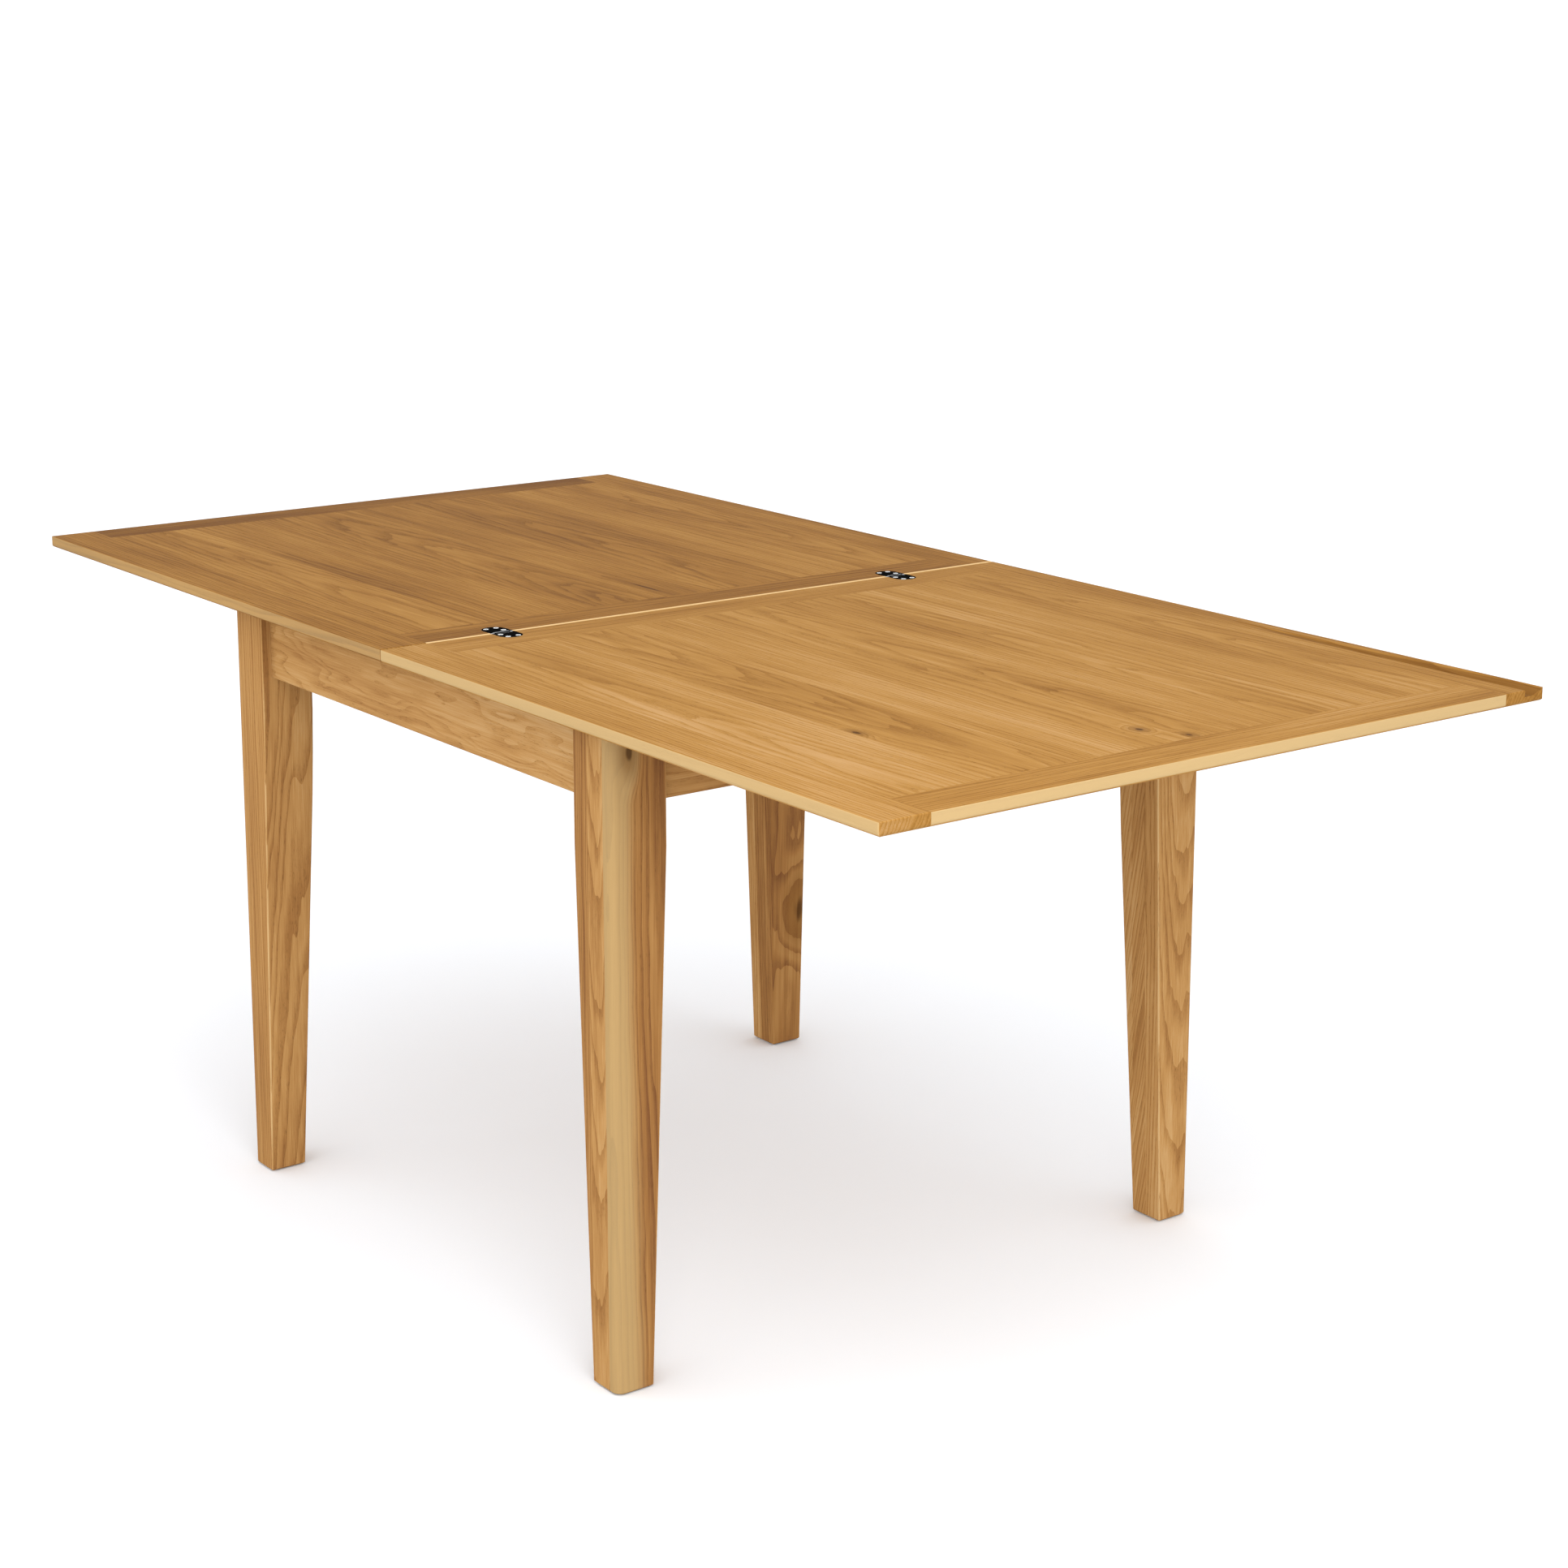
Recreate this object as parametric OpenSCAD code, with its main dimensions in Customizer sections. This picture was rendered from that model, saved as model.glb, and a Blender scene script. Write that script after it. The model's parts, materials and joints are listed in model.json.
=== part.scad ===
// Extending oak dining table with a swivelling flip top.
// Open, two equal leaves lie side by side over a square frame and meet at a joint over its
// middle. To close it, one leaf folds face down onto the other about two flush double-pin
// hinges, and the stacked top then turns a quarter turn on an off-centre pivot until it
// sits square over the frame.
// The origin is on the floor under the middle of the frame. X runs along the open top,
// Y along the joint, and Z is up. The flip leaf is on the +X side.

/* [Top] */
// Height of the open top above the floor
table_h = 750; // [700:5:780]
// Length of one leaf, from the joint to its outer end
leaf_l = 900; // [750:10:1100]
// Width of the leaves, along the joint
leaf_w = 900; // [750:10:1100]
// Thickness of a leaf
leaf_t = 15; // [13:1:22]
// Width of the solid bands round each leaf's planked panel
band_w = 60; // [45:1:90]
// Radius under the outer edges of the leaves
under_r = 5; // [2:0.5:7]
// Radius of the upper outer edges and of the corners
arris_r = 1.5; // [0.5:0.5:3]
// Half of the gap between the two leaves
joint_gap = 0.3; // [0.3:0.05:0.6]

/* [Finger groove] */
// Length of the groove, along the flip leaf's far edge to its outer end
groove_l = 450; // [200:10:600]
// Depth of the groove at the outer end
groove_d = 7; // [4:0.5:9]
// Distance from the leaf's far edge to the groove's upright wall
groove_inset = 30; // [20:1:40]
// Width of the groove's flat floor
groove_floor = 12; // [6:1:18]

/* [Frame] */
// How far the top overhangs the legs
overhang = 30; // [15:1:80]
// Width of a leg at its top
leg_w = 70; // [55:1:90]
// Width of a leg at the foot
foot_w = 47; // [35:1:55]
// Length of a leg's straight part below the aprons
leg_straight = 48; // [20:1:120]
// Radius of a leg's outer corner
leg_corner_r = 10; // [3:1:15]
// Height of the aprons
apron_h = 85; // [70:1:110]
// Thickness of the aprons
apron_t = 20; // [16:1:26]
// How far an apron's face stands back from the legs' faces
apron_setback = 13; // [4:1:20]
// Radius under the aprons
apron_arris_r = 2; // [0.5:0.5:4]

/* [Glides] */
// Thickness of the glides on the frame, which the leaves slide on
top_glide_h = 1.5; // [1:0.25:3]
// Radius of the glides on the frame
top_glide_r = 9; // [6:1:9]
// Play between the glides and the leaves
glide_gap = 0.3; // [0.3:0.05:0.6]
// Thickness of the glides under the feet
foot_glide_h = 1.5; // [1:0.25:4]
// Radius of the glides under the feet
foot_glide_r = 14; // [8:1:16]

/* [Hinges] */
// Distance from a leaf's side edge to the middle of a hinge
hinge_inset = 160; // [120:5:250]
// Distance from the joint to the centre of a hinge plate's round end
plate_l = 17; // [16:0.5:24]
// Radius of a hinge plate's round end, half of its width
plate_r = 15; // [14:0.5:17]
// Depth of the hinge pins' centres below the top, and radius of the joint's upper edges
pin_depth = 1.6; // [1.4:0.1:2]
// Radius of the hinge pins
hinge_pin_r = 0.7; // [0.5:0.05:0.8]
// Length of a hinge's link, along the joint
link_l = 21; // [14:0.5:22]
// Radius of the hinge screws' shanks
hinge_screw_r = 1.6; // [1:0.1:1.8]
// Radius of the hinge screws' heads
hinge_screw_head_r = 3.1; // [2.4:0.1:3.3]
// Length of the hinge screws
hinge_screw_l = 11; // [8:0.5:12]

/* [Pivot] */
// Width of the cross rail that carries the pivot
rail_w = 100; // [94:1:105]
// Thickness of the cross rail
rail_t = 18; // [15:1:22]
// Radius of the pivot stud
stud_r = 8; // [6:0.5:9]
// Wall of the bush round the stud
bush_wall = 3; // [2:0.5:4]
// Radius of the bush's flange
bush_flange_r = 18; // [16:1:22]
// Thickness of the bush's flange
bush_flange_t = 2; // [1:0.5:3]
// Side of the pivot plate
plate_side = 100; // [96:1:110]
// Thickness of the pivot plate
plate_t = 4; // [3:0.5:6]
// Distance from the pivot to the stop pin
stop_at = 36; // [32:0.5:40]
// Radius of the stop pin
stop_r = 4; // [3:0.5:5]
// Height of the cleats under the cross rail
cleat_h = 16; // [12:1:20]
// Width of the cleats under the cross rail
cleat_w = 18; // [14:1:24]

/* [Corner joints] */
// Thickness of the corner braces
brace_t = 20; // [16:1:24]
// Gap between a brace and the leg's inner corner
brace_gap = 6; // [3:0.5:12]
// Radius of the hanger bolts
bolt_r = 4; // [3:0.5:5]
// Depth of the hanger bolts in the legs
bolt_depth = 34; // [24:1:40]
// Radius of the dowels
dowel_r = 5; // [3:0.5:6]
// Length of the dowels
dowel_l = 36; // [24:1:40]

/* [Hidden] */
$fn = 48;

// Play round a pin that turns, and round a piece that is pressed, screwed or glued in
run_play = 0.05;
fixed_play = 0.02;
// Least gap between pieces that move past each other
move_gap = 0.3;

// Heights
leaf_under = table_h - leaf_t;
frame_top = leaf_under - glide_gap - top_glide_h;
apron_bottom = frame_top - apron_h;
apron_mid = frame_top - apron_h / 2;
taper_top = apron_bottom - leg_straight;

// Plan of the frame, which lies under the leaves both open and turned
frame_x = leaf_w - 2 * overhang;
frame_y = min(leaf_w, leaf_l) - 2 * overhang;
leg_in_x = frame_x / 2 - leg_w;
leg_in_y = frame_y / 2 - leg_w;
apron_out_x = frame_x / 2 - apron_setback;
apron_out_y = frame_y / 2 - apron_setback;
apron_in_x = apron_out_x - apron_t;
apron_in_y = apron_out_y - apron_t;
CORNERS = [[-1, -1], [1, -1], [-1, 1], [1, 1]];

// The pivot's place: a quarter turn about it brings the fixed leaf over the frame
pivot_x = -leaf_l / 4;
pivot_y = leaf_l / 4;
plate_bottom = leaf_under - plate_t;
bush_top = plate_bottom - move_gap;
rail_top = bush_top - bush_flange_t;
rail_bottom = rail_top - rail_t;
cleat_bottom = rail_bottom - cleat_h;
bush_r = stud_r + bush_wall;
washer_t = 2.5;
washer_r = stud_r * 2;
washer_top = rail_bottom - move_gap;
nut_top = washer_top - washer_t;
nut_h = stud_r * 1.6;
nut_r = stud_r * 1.73;
stud_end = nut_top - nut_h - 3;
stud_neck_r = stud_r - 2;
stop_neck_r = stop_r - 1;
stop_end = rail_bottom - 4;
stop_play = 0.5;
stop_from = -45;
stop_turn = 90;

// Wood screws
screw_r = 2;
screw_head_r = 4.2;
plate_screw_l = 12;
plate_screw_at = plate_side / 2 - 12;
rail_screw_l = rail_t + cleat_h - 4;
rail_screw_at = rail_w / 2 - 20;
cleat_screw_l = cleat_w + apron_t * 0.6;
cleat_screw_at = rail_w / 2 - 35;

// Corner braces, in plan lines where x + y is constant
brace_low = apron_bottom + 6;
brace_high = cleat_bottom - 2;
brace_mid = (brace_low + brace_high) / 2;
brace_outer = leg_in_x + leg_in_y - brace_gap * sqrt(2);
brace_inner = brace_outer - brace_t * sqrt(2);
brace_screw_grip = 12;
brace_screw_head_r = 4.5;
brace_screw_head_h = 3;
brace_screw_in = 9;
brace_screw_up = (brace_high - brace_low) * 0.28;
brace_screw_l = brace_screw_grip + apron_t * 0.6;
leg_chamfer = 8;
bolt_washer_r = bolt_r * 2.25;
bolt_washer_t = 1.6;
bolt_nut_r = bolt_r * 1.875;
bolt_nut_h = bolt_r * 1.6;
bolt_out = brace_gap + brace_t + bolt_washer_t + bolt_nut_h + 4;
dowel_up = apron_h / 2 - 18.5;

// Hinges: a link joins a pin in each leaf. The flip leaf folds about a line joint_gap above
// the middle of the joint, which leaves twice that gap between the shut leaves. Half way
// over, the pins stand link_slide further apart than when the table is open or shut, so the
// flip leaf's pin slides in a slot in the link.
pin_x = joint_gap + pin_depth;
pin_z = table_h - pin_depth;
hinge_y = leaf_w / 2 - hinge_inset;
hinge_plate_t = 2 * pin_depth;
link_r = pin_depth - 0.1;
link_slide = 2 * pin_x * (sqrt(2) - 1);
plate_play = 0.15;
pocket_room = 0.5;
pin_half = plate_r - 1;
// Screw places in a plate, from the joint and along it, for a plate on the -X side
hinge_screws_at = [
    [plate_l + plate_r * 0.5, plate_r * 0.45],
    [plate_l + plate_r * 0.5, -plate_r * 0.45],
    [plate_l - plate_r * 0.45, plate_r * 0.55]
];

OAK = [0.79, 0.62, 0.41];
OAK_PALE = [0.86, 0.71, 0.51];
OAK_DEEP = [0.70, 0.52, 0.32];
BEECH = [0.85, 0.72, 0.55];
BLACK = [0.06, 0.06, 0.06];
ZINC = [0.78, 0.79, 0.80];
NYLON = [0.90, 0.89, 0.86];
FELT = [0.35, 0.33, 0.30];

// ---- Shared shapes ----

// What a rounded corner takes off a square one whose point is at the origin
module corner_waste(r) {
    if (r > 0) difference() {
        translate([-1, -1]) square(r + 1);
        translate([r, r]) circle(r);
    }
}

// A rectangle from the origin, with a radius for each corner: lower left, lower right,
// upper right and upper left
module rounded_rect(w, h, radii) {
    places = [[0, 0, 0], [w, 0, 90], [w, h, 180], [0, h, 270]];
    difference() {
        square([w, h]);
        for (i = [0:3])
            translate([places[i][0], places[i][1]]) rotate(places[i][2])
                corner_waste(radii[i]);
    }
}

// Stands a drawing of X and Z upright and carries it along +Y from y = 0
module along_y(length) {
    translate([0, length, 0]) rotate([90, 0, 0]) linear_extrude(length) children();
}

// Stands a drawing of Y and Z upright and carries it along +X from x = 0
module along_x(length) {
    rotate([90, 0, 90]) linear_extrude(length) children();
}

// A countersunk screw pointing down, with its head's face at the origin
module countersunk_screw(r, head_r, length, recess = true) {
    head_h = head_r - r;
    difference() {
        union() {
            translate([0, 0, -length]) cylinder(r = r, h = length);
            translate([0, 0, -head_h]) cylinder(r1 = r, r2 = head_r, h = head_h);
        }
        if (recess)
            for (turn = [0, 90])
                rotate(turn) translate([-head_r * 0.6, -head_r * 0.13, -head_h * 0.6])
                    cube([head_r * 1.2, head_r * 0.26, head_h]);
    }
}

// The hole for such a screw, with a little play and open above its head
module countersunk_hole(r, head_r, length) {
    head_h = head_r - r;
    translate([0, 0, -length - 0.5])
        cylinder(r = r + fixed_play, h = length + 0.5);
    translate([0, 0, -head_h]) cylinder(
        r1 = r + fixed_play, r2 = head_r + fixed_play, h = head_h);
    cylinder(r = head_r + fixed_play, h = 1);
}

// ---- Frame ----

// Puts a corner's shape, drawn for the +X +Y corner, at another corner
module at_corner(corner) {
    mirror([corner[0] < 0 ? 1 : 0, 0, 0]) mirror([0, corner[1] < 0 ? 1 : 0, 0])
        children();
}

// One leg's side, with its outer face at 0 and the inner face tapered below the straight
module leg_side() {
    polygon([
        [0, foot_glide_h], [0, frame_top], [-leg_w, frame_top], [-leg_w, taper_top],
        [-foot_w, foot_glide_h]
    ]);
}

// A leg in plan: the outer corner rounded, the inner one cut off flat for the hanger bolt
module leg_plan() {
    difference() {
        translate([-leg_w, -leg_w])
            rounded_rect(leg_w, leg_w, [0, arris_r, leg_corner_r, arris_r]);
        translate([-leg_w, -leg_w]) rotate(45)
            square(leg_chamfer * sqrt(2), center = true);
    }
}

module leg(corner) {
    color(OAK) difference() {
        at_corner(corner) translate([frame_x / 2, frame_y / 2, 0]) intersection() {
            translate([0, 0, foot_glide_h])
                linear_extrude(frame_top - foot_glide_h) leg_plan();
            translate([0, -leg_w, 0]) along_y(leg_w) leg_side();
            translate([-leg_w, 0, 0]) along_x(leg_w) leg_side();
        }
        at_corner(corner) bolt_shank(fixed_play);
        dowels(fixed_play);
    }
}

// Front and back aprons run along X between the legs
module x_apron(side) {
    length = 2 * leg_in_x;
    color(OAK) difference() {
        translate([-leg_in_x, side < 0 ? -apron_out_y : apron_in_y, apron_bottom])
            along_x(length)
                rounded_rect(apron_t, apron_h, [apron_arris_r, apron_arris_r, 0.5, 0.5]);
        dowels(fixed_play);
        for (corner = CORNERS) at_corner(corner) corner_screws(fixed_play);
        cleat_screw_set(fixed_play);
    }
}

// Left and right aprons run along Y between the legs
module y_apron(side) {
    length = 2 * leg_in_y;
    color(OAK) difference() {
        translate([side < 0 ? -apron_out_x : apron_in_x, -leg_in_y, apron_bottom])
            along_y(length)
                rounded_rect(apron_t, apron_h, [apron_arris_r, apron_arris_r, 0.5, 0.5]);
        dowels(fixed_play);
        for (corner = CORNERS) at_corner(corner) corner_screws(fixed_play);
    }
}

// Two dowels join each apron end to its leg
module dowels(play) {
    for (corner = CORNERS, up = [-1, 1]) at_corner(corner) {
        translate([leg_in_x - dowel_l / 2 - play, apron_out_y - apron_t / 2,
                   apron_mid + up * dowel_up])
            rotate([0, 90, 0]) cylinder(r = dowel_r + play, h = dowel_l + 2 * play);
        translate([apron_out_x - apron_t / 2, leg_in_y + dowel_l / 2 + play,
                   apron_mid + up * dowel_up])
            rotate([90, 0, 0]) cylinder(r = dowel_r + play, h = dowel_l + 2 * play);
    }
}

// A diagonal brace across the +X +Y corner, mitred to the inner faces of two aprons
module brace_blank() {
    translate([0, 0, brace_low]) linear_extrude(brace_high - brace_low) polygon([
        [apron_in_x, brace_outer - apron_in_x], [brace_outer - apron_in_y, apron_in_y],
        [brace_inner - apron_in_y, apron_in_y], [apron_in_x, brace_inner - apron_in_x]
    ]);
}

// Turns a cylinder to lie along the diagonal of the +X +Y corner, with z = 0 at the leg's
// inner corner and +z pointing into the leg
module on_diagonal() {
    translate([leg_in_x, leg_in_y, brace_mid]) rotate([0, 0, 45]) rotate([0, 90, 0])
        children();
}

module bolt_shank(play) {
    on_diagonal() translate([0, 0, -bolt_out])
        cylinder(r = bolt_r + play, h = bolt_out + bolt_depth + play);
}

// Four screws fix a brace, two into each apron
module corner_screws(play) {
    shank = brace_screw_l + (play > 0 ? 0.5 : 0);
    for (up = [-1, 1]) {
        translate([apron_in_x - brace_screw_grip,
                   brace_outer - apron_in_x - brace_screw_in,
                   brace_mid + up * brace_screw_up])
            rotate([0, 90, 0]) cylinder(r = screw_r + play, h = shank);
        translate([brace_outer - apron_in_y - brace_screw_in,
                   apron_in_y - brace_screw_grip,
                   brace_mid + up * brace_screw_up])
            rotate([-90, 0, 0]) cylinder(r = screw_r + play, h = shank);
    }
}

// The heads of those screws, or the pockets that sink them
module corner_screw_heads(r, h) {
    for (up = [-1, 1]) {
        translate([apron_in_x - brace_screw_grip - h,
                   brace_outer - apron_in_x - brace_screw_in,
                   brace_mid + up * brace_screw_up])
            rotate([0, 90, 0]) cylinder(r = r, h = h);
        translate([brace_outer - apron_in_y - brace_screw_in,
                   apron_in_y - brace_screw_grip - h,
                   brace_mid + up * brace_screw_up])
            rotate([-90, 0, 0]) cylinder(r = r, h = h);
    }
}

module brace(corner) {
    color(OAK_DEEP) at_corner(corner) difference() {
        brace_blank();
        bolt_shank(move_gap);
        corner_screws(fixed_play);
        corner_screw_heads(brace_screw_head_r + 0.7, brace_t * 2);
    }
}

module brace_screws() {
    color(ZINC) for (corner = CORNERS) at_corner(corner) {
        corner_screws(0);
        corner_screw_heads(brace_screw_head_r, brace_screw_head_h);
    }
}

module hanger_bolts() {
    color(ZINC) for (corner = CORNERS) at_corner(corner) bolt_shank(0);
}

// A ring on the hanger bolt, from one distance outside the leg's inner corner to another
module bolt_ring(from, thickness, r, sides) {
    on_diagonal() translate([0, 0, -from - thickness]) difference() {
        cylinder(r = r, h = thickness, $fn = sides);
        translate([0, 0, -1])
            cylinder(r = bolt_r + fixed_play, h = thickness + 2);
    }
}

module hanger_washers() {
    color(ZINC) for (corner = CORNERS) at_corner(corner)
        bolt_ring(brace_gap + brace_t, bolt_washer_t, bolt_washer_r, $fn);
}

module hanger_nuts() {
    color(ZINC) for (corner = CORNERS) at_corner(corner)
        bolt_ring(brace_gap + brace_t + bolt_washer_t, bolt_nut_h, bolt_nut_r, 6);
}

module apron_dowels() {
    color(BEECH) dowels(0);
}

// ---- Pivot rail ----

// The quarter-circle slot that the stop pin runs in, ending where the pin stops
module stop_slot() {
    half = stop_r + stop_play;
    translate([pivot_x, pivot_y, rail_bottom - 1]) {
        rotate(stop_from) rotate_extrude(angle = stop_turn)
            translate([stop_at - half, 0]) square([2 * half, rail_t + 2]);
        for (turn = [0, stop_turn])
            rotate(stop_from + turn) translate([stop_at, 0, 0])
                cylinder(r = half, h = rail_t + 2);
    }
}

// Screws down through the rail's ends into the cleats
module rail_screw_set(hole) {
    for (side = [-1, 1], across = [-1, 1])
        translate([pivot_x + across * rail_screw_at, side * (apron_in_y - cleat_w / 2),
                   rail_top])
            if (hole) countersunk_hole(screw_r, screw_head_r, rail_screw_l);
            else countersunk_screw(screw_r, screw_head_r, rail_screw_l);
}

// Screws through the cleats into the front and back aprons
module cleat_screw_set(play) {
    for (side = [-1, 1], across = [-1, 1])
        translate([pivot_x + across * cleat_screw_at, side * (apron_in_y - cleat_w),
                   rail_bottom - cleat_h / 2])
            rotate([side * 90, 0, 0])
                if (play > 0) countersunk_hole(screw_r, screw_head_r, cleat_screw_l);
                else countersunk_screw(screw_r, screw_head_r, cleat_screw_l);
}

module cross_rail() {
    color(OAK_DEEP) difference() {
        translate([pivot_x - rail_w / 2, -apron_in_y, rail_bottom])
            cube([rail_w, 2 * apron_in_y, rail_t]);
        stop_slot();
        translate([pivot_x, pivot_y, rail_bottom - 1])
            cylinder(r = bush_r + fixed_play, h = rail_t + 2);
        rail_screw_set(true);
    }
}

module rail_screws() {
    color(ZINC) rail_screw_set(false);
}

module cleat_screws() {
    color(ZINC) cleat_screw_set(0);
}

module cleat(side) {
    color(OAK_DEEP) difference() {
        translate([pivot_x - rail_w / 2, side < 0 ? -apron_in_y : apron_in_y - cleat_w,
                   cleat_bottom])
            cube([rail_w, cleat_w, cleat_h]);
        rail_screw_set(true);
        cleat_screw_set(fixed_play);
    }
}

module pivot_bush() {
    color(NYLON) translate([pivot_x, pivot_y, 0]) difference() {
        union() {
            translate([0, 0, rail_bottom]) cylinder(r = bush_r, h = bush_top - rail_bottom);
            translate([0, 0, rail_top]) cylinder(r = bush_flange_r, h = bush_flange_t);
        }
        translate([0, 0, rail_bottom - 1])
            cylinder(r = stud_r + run_play, h = bush_top - rail_bottom + 2);
    }
}

// ---- Glides ----

// Discs on the legs and halfway along the aprons, which carry the leaves
module top_glides() {
    leg_places = [for (corner = CORNERS) [
        corner[0] * (frame_x / 2 - leg_w / 2), corner[1] * (frame_y / 2 - leg_w / 2)
    ]];
    apron_places = [
        [0, -apron_out_y + apron_t / 2], [0, apron_out_y - apron_t / 2],
        [-apron_out_x + apron_t / 2, 0], [apron_out_x - apron_t / 2, 0]
    ];
    color(FELT) for (place = concat(leg_places, apron_places))
        translate([place[0], place[1], frame_top])
            cylinder(r = min(top_glide_r, apron_t / 2 - 0.5), h = top_glide_h);
}

module foot_glides() {
    color(NYLON) for (corner = CORNERS)
        translate([corner[0] * (frame_x / 2 - foot_w / 2),
                   corner[1] * (frame_y / 2 - foot_w / 2), 0])
            cylinder(r = foot_glide_r, h = foot_glide_h);
}

// ---- Leaves, drawn for the +X side and mirrored for the other ----

module on_side(side) {
    mirror([side < 0 ? 1 : 0, 0, 0]) children();
}

// The whole leaf: a slab with a rounded joint edge and eased outer edges
module leaf_blank() {
    length = leaf_l - joint_gap;
    intersection() {
        translate([joint_gap, -leaf_w / 2, leaf_under]) along_y(leaf_w)
            rounded_rect(length, leaf_t, [under_r, under_r, arris_r, pin_depth]);
        translate([joint_gap, -leaf_w / 2, leaf_under]) along_x(length)
            rounded_rect(leaf_w, leaf_t, [under_r, under_r, arris_r, arris_r]);
        translate([joint_gap, -leaf_w / 2, leaf_under - 1]) linear_extrude(leaf_t + 2)
            rounded_rect(length, leaf_w, [arris_r, 2 * arris_r, 2 * arris_r, arris_r]);
    }
}

// One piece of a leaf, cut out of the blank between two distances from the joint and two
// places along it
module leaf_piece(side, x_from, x_to, y_from, y_to) {
    on_side(side) intersection() {
        leaf_blank();
        translate([x_from, y_from, leaf_under - 1])
            cube([x_to - x_from, y_to - y_from, leaf_t + 2]);
    }
}

module leaf_panel(side) {
    color(OAK) difference() {
        leaf_piece(side, band_w, leaf_l - band_w, band_w - leaf_w / 2,
                   leaf_w / 2 - band_w);
        if (side < 0) pivot_screw_set(true);
    }
}

// Bands along the front and back edges run through to the leaf's corners
module side_band(side, edge) {
    color(OAK) leaf_piece(side, -1, leaf_l + 1,
        edge < 0 ? -leaf_w / 2 - 1 : leaf_w / 2 - band_w,
        edge < 0 ? band_w - leaf_w / 2 : leaf_w / 2 + 1);
}

module end_band(side) {
    color(OAK_PALE) leaf_piece(side, leaf_l - band_w, leaf_l + 1, band_w - leaf_w / 2,
                               leaf_w / 2 - band_w);
}

module joint_band(side) {
    color(OAK) difference() {
        leaf_piece(side, 0, band_w, band_w - leaf_w / 2, leaf_w / 2 - band_w);
        for (edge = [-1, 1]) on_side(side) translate([0, edge * hinge_y, 0])
            hinge_mortise(side);
    }
}

// The groove under the fingers that lift the flip leaf: a flat floor against an upright
// wall, sloping up to the edge, sunk deeper towards the leaf's outer end
module finger_groove() {
    wall_y = leaf_w / 2 - groove_inset;
    past = 5;
    translate([leaf_l - groove_l, 0, table_h]) rotate([0, atan(groove_d / groove_l), 0])
        along_x(groove_l + past) polygon([
            [wall_y, 0], [wall_y + groove_floor, 0], [leaf_w / 2, groove_d],
            [leaf_w / 2, groove_d + past], [wall_y, groove_d + past]
        ]);
}

module flip_back_band() {
    color(OAK) difference() {
        side_band(1, 1);
        finger_groove();
    }
}

// ---- Hinges, drawn for the plate on the +X side ----

// A hinge plate in plan, with a round end and square at the joint
module plate_plan(grow) {
    translate([plate_l, 0]) circle(plate_r + grow);
    translate([joint_gap - 1, -plate_r - grow])
        square([plate_l - joint_gap + 1, 2 * (plate_r + grow)]);
}

// Places the children at each screw of a plate. The single screws of the two plates of a
// hinge lie on opposite sides of its middle.
module at_hinge_screws(side) {
    for (at = hinge_screws_at) translate([at[0], -side * at[1], table_h]) children();
}

// How far the link reaches into a leaf, from the middle of the joint
function link_reach(side) = pin_x + link_r + (side > 0 ? link_slide : 0);

// The room cut into a leaf for a plate, its screws and the turning link
module hinge_mortise(side) {
    reach = link_reach(side) + pocket_room;
    deep = pin_depth - pin_x + reach;
    translate([0, 0, table_h - hinge_plate_t]) linear_extrude(hinge_plate_t + 1)
        plate_plan(plate_play);
    translate([-1, -link_l / 2 - pocket_room, table_h - deep])
        cube([reach + 1, link_l + 2 * pocket_room, deep + 1]);
    at_hinge_screws(side)
        countersunk_hole(hinge_screw_r, hinge_screw_head_r, hinge_screw_l);
}

module hinge_plate(side, edge) {
    color(BLACK) on_side(side) translate([0, edge * hinge_y, 0]) difference() {
        intersection() {
            translate([0, 0, table_h - hinge_plate_t - 1])
                linear_extrude(hinge_plate_t + 2) plate_plan(0);
            translate([0, -plate_r - 1, 0]) along_y(2 * plate_r + 2) {
                translate([pin_x, table_h - hinge_plate_t])
                    square([plate_l + plate_r, hinge_plate_t]);
                translate([pin_x, pin_z]) circle(pin_depth);
            }
        }
        translate([-1, -link_l / 2 - move_gap, table_h - hinge_plate_t - 1])
            cube([link_reach(side) + move_gap + 1, link_l + 2 * move_gap,
                  hinge_plate_t + 2]);
        translate([pin_x, plate_r + 1, pin_z]) rotate([90, 0, 0])
            cylinder(r = hinge_pin_r + fixed_play, h = 2 * plate_r + 2);
        at_hinge_screws(side)
            countersunk_hole(hinge_screw_r, hinge_screw_head_r, hinge_screw_l);
    }
}

module hinge_pins(side) {
    color(ZINC) for (edge = [-1, 1]) on_side(side)
        translate([pin_x, edge * hinge_y + pin_half, pin_z]) rotate([90, 0, 0])
            cylinder(r = hinge_pin_r, h = 2 * pin_half);
}

module hinge_screws(side) {
    color(ZINC) for (edge = [-1, 1]) on_side(side) translate([0, edge * hinge_y, 0])
        at_hinge_screws(side)
            countersunk_screw(hinge_screw_r, hinge_screw_head_r, hinge_screw_l);
}

// The link turns on the fixed leaf's pin, and the flip leaf's pin slides in its slot
module hinge_link(edge) {
    slot_r = hinge_pin_r + run_play;
    color(BLACK) translate([0, edge * hinge_y - link_l / 2, 0]) difference() {
        along_y(link_l) {
            translate([-pin_x, pin_z - link_r])
                square([2 * pin_x + link_slide, 2 * link_r]);
            for (x = [-pin_x, pin_x + link_slide]) translate([x, pin_z]) circle(link_r);
        }
        translate([0, -1, 0]) along_y(link_l + 2) {
            for (x = [-pin_x, pin_x, pin_x + link_slide])
                translate([x, pin_z]) circle(slot_r);
            translate([pin_x, pin_z - slot_r]) square([link_slide, 2 * slot_r]);
        }
    }
}

// ---- Pivot pieces under the fixed leaf ----

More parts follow.
